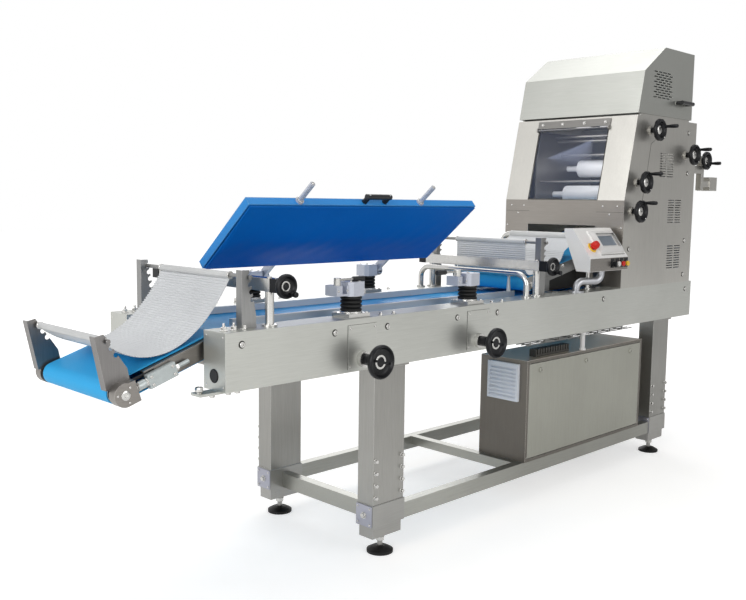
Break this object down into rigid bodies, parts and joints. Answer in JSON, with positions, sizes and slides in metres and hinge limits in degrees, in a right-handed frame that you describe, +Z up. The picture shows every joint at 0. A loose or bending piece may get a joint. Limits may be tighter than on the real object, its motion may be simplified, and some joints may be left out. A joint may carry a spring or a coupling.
{
  "type": "baguette moulder",
  "caption": "Floor-standing dough moulder: a belt table with hanging wire mats and a hinged pressure board, fed by a sheeting head with hood, window and handwheels.",
  "frame": {"origin": "on the floor below the middle of the bounding box", "axes": "+X along the table from the discharge nose to the sheeting head, +Z up; the operator stands at -Y"},
  "size_m": [3.709, 0.8423, 2.084],
  "materials": {
    "stainless": "bead-blasted stainless sheet",
    "bright_steel": "turned and polished stainless",
    "shoe_steel": "brushed stainless",
    "alloy": "machined aluminium",
    "black_plastic": "moulded plastic",
    "black_rubber": "moulded rubber",
    "blue_belt": "coated conveyor belt",
    "blue_board": "moulded board",
    "blue_lining": "quilted lining",
    "wire_mat": "woven wire",
    "white_plastic": "moulded plastic",
    "clear_plastic": "clear sheet",
    "grey_paint": "painted",
    "red_plastic": "moulded plastic",
    "yellow_plastic": "moulded plastic",
    "cable_mix": "conduit, wire tray and cable comb"
  },
  "bodies": {
    "frame": {"side_beams": "stainless", "frame_rails": "stainless", "legs": "stainless", "leg_shoes": "shoe_steel", "foot_pads": "black_rubber", "cabinet_shell": "stainless", "vent_grille": "white_plastic", "cable_run": "cable_mix", "main_belt": "blue_belt", "belt_bed": "bright_steel", "discharge_frame": "alloy", "mat_racks": "stainless", "outfeed_mat": "wire_mat", "curl_mat": "wire_mat", "bridges": "bright_steel", "bridge_end_blocks": "black_plastic", "jack_bases": "bright_steel", "jack_bellows": "black_rubber", "guard_tubes": "bright_steel", "infeed_frame": "stainless", "infeed_belt": "blue_belt", "head_shell": "stainless", "head_fittings": "bright_steel", "gear_motor": "grey_paint", "console_case": "stainless", "console_stand": "bright_steel", "rear_bracket": "stainless"},
    "jack_lift": {"jack_heads": "bright_steel"},
    "pressure_board": {"board_panel": "blue_board", "board_lining": "blue_lining", "board_fittings": "bright_steel"},
    "drive_drum": {"drive_drum": "bright_steel"},
    "nose_roller": {"nose_roller": "bright_steel"},
    "infeed_nose_roller": {"infeed_nose_roller": "bright_steel"},
    "infeed_drive_roller": {"infeed_drive_roller": "bright_steel"},
    "upper_roller": {"upper_roller": "white_plastic"},
    "upper_back_roller": {"upper_back_roller": "white_plastic"},
    "lower_roller": {"lower_roller": "white_plastic"},
    "lower_back_roller": {"lower_back_roller": "white_plastic"},
    "left_jack_wheel": {"left_jack_wheel": "black_plastic"},
    "right_jack_wheel": {"right_jack_wheel": "black_plastic"},
    "left_clamp_lever": {"left_clamp_lever": "bright_steel"},
    "right_clamp_lever": {"right_clamp_lever": "bright_steel"},
    "outfeed_wheel": {"outfeed_wheel": "black_plastic"},
    "infeed_wheel": {"infeed_wheel": "black_plastic"},
    "front_guide_rail": {"front_guide_rail": "alloy"},
    "rear_guide_rail": {"rear_guide_rail": "alloy"},
    "window_flap": {"window_flap": "clear_plastic"},
    "hood": {"hood": "stainless"},
    "duster_wheel": {"duster_wheel": "black_plastic"},
    "upper_gap_wheel": {"upper_gap_wheel": "black_plastic"},
    "lower_gap_wheel": {"lower_gap_wheel": "black_plastic"},
    "tray_wheel": {"tray_wheel": "black_plastic"},
    "rear_wheel": {"rear_wheel": "black_plastic"},
    "cabinet_door": {"cabinet_door": "stainless"},
    "emergency_stop": {"emergency_stop": "red_plastic"},
    "selector_switch": {"selector_switch": "black_plastic"},
    "start_button": {"start_button": "white_plastic"},
    "stop_button": {"stop_button": "red_plastic"},
    "reset_button": {"reset_button": "yellow_plastic"}
  },
  "joints": [
    {"name": "left_jack_turn", "type": "hinge", "parent": "frame", "child": "left_jack_wheel", "pos_m": [-0.91145, -0.29885, 0.757], "axis": [0, -1, 0], "range_deg": [-1800, 1800]},
    {"name": "right_jack_turn", "type": "hinge", "parent": "frame", "child": "right_jack_wheel", "pos_m": [-0.26645, -0.29885, 0.757], "axis": [0, -1, 0], "range_deg": [-1800, 1800]},
    {"name": "jack_lift", "type": "slide", "parent": "frame", "child": "jack_lift", "axis": [0, 0, 1], "range_m": [-0.02, 0.02], "deforming": ["jack_bellows"]},
    {"name": "board_hinge", "type": "hinge", "parent": "jack_lift", "child": "pressure_board", "pos_m": [-0.58645, 0.34165, 0.996], "axis": [-1, 0, 0], "range_deg": [-40, 50]},
    {"name": "left_clamp_turn", "type": "hinge", "parent": "jack_lift", "child": "left_clamp_lever", "pos_m": [-0.99145, -0.25335, 1.034], "axis": [0, 0, -1], "range_deg": [0, 90]},
    {"name": "right_clamp_turn", "type": "hinge", "parent": "jack_lift", "child": "right_clamp_lever", "pos_m": [-0.34645, -0.25335, 1.034], "axis": [0, 0, 1], "range_deg": [0, 90]},
    {"name": "outfeed_width_turn", "type": "hinge", "parent": "frame", "child": "outfeed_wheel", "pos_m": [-1.28445, -0.31885, 1.035], "axis": [0, -1, 0], "range_deg": [-1800, 1800]},
    {"name": "infeed_width_turn", "type": "hinge", "parent": "frame", "child": "infeed_wheel", "pos_m": [0.19055, -0.31885, 1.035], "axis": [0, -1, 0], "range_deg": [-1800, 1800]},
    {"name": "front_guide_shift", "type": "slide", "parent": "frame", "child": "front_guide_rail", "axis": [0, 1, 0], "range_m": [-0.02, 0.02]},
    {"name": "rear_guide_shift", "type": "slide", "parent": "frame", "child": "rear_guide_rail", "axis": [0, 1, 0], "range_m": [-0.02, 0.02]},
    {"name": "drum_spin", "type": "hinge", "parent": "frame", "child": "drive_drum", "pos_m": [1.15855, 0.05115, 0.8467], "axis": [0, 1, 0], "continuous": true},
    {"name": "nose_spin", "type": "hinge", "parent": "frame", "child": "nose_roller", "pos_m": [-1.77645, 0.05115, 0.735], "axis": [0, 1, 0], "continuous": true},
    {"name": "infeed_drive_spin", "type": "hinge", "parent": "frame", "child": "infeed_drive_roller", "pos_m": [1.16548, 0.05115, 1.12143], "axis": [0, 1, 0], "continuous": true},
    {"name": "infeed_nose_spin", "type": "hinge", "parent": "frame", "child": "infeed_nose_roller", "pos_m": [0.28355, 0.05115, 0.942], "axis": [0, 1, 0], "continuous": true},
    {"name": "lower_roller_spin", "type": "hinge", "parent": "frame", "child": "lower_roller", "pos_m": [1.06855, 0.05115, 1.356], "axis": [0, 1, 0], "continuous": true},
    {"name": "lower_back_spin", "type": "hinge", "parent": "frame", "child": "lower_back_roller", "pos_m": [1.16655, 0.05115, 1.35], "axis": [0, 1, 0], "continuous": true},
    {"name": "upper_roller_spin", "type": "hinge", "parent": "frame", "child": "upper_roller", "pos_m": [1.19855, 0.05115, 1.495], "axis": [0, 1, 0], "continuous": true},
    {"name": "upper_back_spin", "type": "hinge", "parent": "frame", "child": "upper_back_roller", "pos_m": [1.29655, 0.05115, 1.501], "axis": [0, 1, 0], "continuous": true},
    {"name": "window_hinge", "type": "hinge", "parent": "frame", "child": "window_flap", "pos_m": [0.90492, 0.05515, 1.6838], "axis": [0, 1, 0], "range_deg": [0, 75]},
    {"name": "hood_hinge", "type": "hinge", "parent": "frame", "child": "hood", "pos_m": [1.49055, 0.05115, 1.75], "axis": [0, 1, 0], "range_deg": [0, 60]},
    {"name": "duster_turn", "type": "hinge", "parent": "frame", "child": "duster_wheel", "pos_m": [1.05355, -0.31885, 1.671], "axis": [0, -1, 0], "range_deg": [-720, 720]},
    {"name": "upper_gap_turn", "type": "hinge", "parent": "frame", "child": "upper_gap_wheel", "pos_m": [1.43555, -0.31885, 1.567], "axis": [0, -1, 0], "range_deg": [-720, 720]},
    {"name": "lower_gap_turn", "type": "hinge", "parent": "frame", "child": "lower_gap_wheel", "pos_m": [0.94455, -0.31885, 1.413], "axis": [0, -1, 0], "range_deg": [-720, 720]},
    {"name": "tray_turn", "type": "hinge", "parent": "frame", "child": "tray_wheel", "pos_m": [0.90555, -0.31885, 1.273], "axis": [0, -1, 0], "range_deg": [-720, 720]},
    {"name": "rear_turn", "type": "hinge", "parent": "frame", "child": "rear_wheel", "pos_m": [1.68255, -0.28885, 1.548], "axis": [0, -1, 0], "range_deg": [-720, 720]},
    {"name": "cabinet_door_hinge", "type": "hinge", "parent": "frame", "child": "cabinet_door", "pos_m": [0.57855, -0.29065, 0.199], "axis": [1, 0, 0], "range_deg": [0, 90]},
    {"name": "emergency_press", "type": "slide", "parent": "frame", "child": "emergency_stop", "axis": [0, 0.7993, -0.601], "range_m": [0, 0.006], "stiffness_N_per_m": 900},
    {"name": "selector_turn", "type": "hinge", "parent": "frame", "child": "selector_switch", "pos_m": [0.65955, -0.34885, 1.029], "axis": [0, -1, 0], "range_deg": [-45, 45]},
    {"name": "start_press", "type": "slide", "parent": "frame", "child": "start_button", "axis": [0, 1, 0], "range_m": [0, 0.004], "stiffness_N_per_m": 400},
    {"name": "stop_press", "type": "slide", "parent": "frame", "child": "stop_button", "axis": [0, 1, 0], "range_m": [0, 0.004], "stiffness_N_per_m": 400},
    {"name": "reset_press", "type": "slide", "parent": "frame", "child": "reset_button", "axis": [0, 1, 0], "range_m": [0, 0.004], "stiffness_N_per_m": 400}
  ],
  "couplings": [
    {"joint": "left_jack_turn", "follows": "jack_lift", "rad_per_m": 1570.8},
    {"joint": "right_jack_turn", "follows": "jack_lift", "rad_per_m": 1570.8},
    {"joint": "outfeed_width_turn", "follows": "front_guide_shift", "rad_per_m": 1570.8},
    {"joint": "infeed_width_turn", "follows": "front_guide_shift", "rad_per_m": 1570.8},
    {"joint": "rear_guide_shift", "follows": "front_guide_shift", "ratio": -1},
    {"joint": "nose_spin", "follows": "drum_spin", "ratio": 1.1111},
    {"joint": "infeed_nose_spin", "follows": "infeed_drive_spin", "ratio": 1},
    {"joint": "lower_back_spin", "follows": "lower_roller_spin", "ratio": -1},
    {"joint": "upper_roller_spin", "follows": "lower_roller_spin", "ratio": 0.8},
    {"joint": "upper_back_spin", "follows": "lower_roller_spin", "ratio": -0.8}
  ]
}
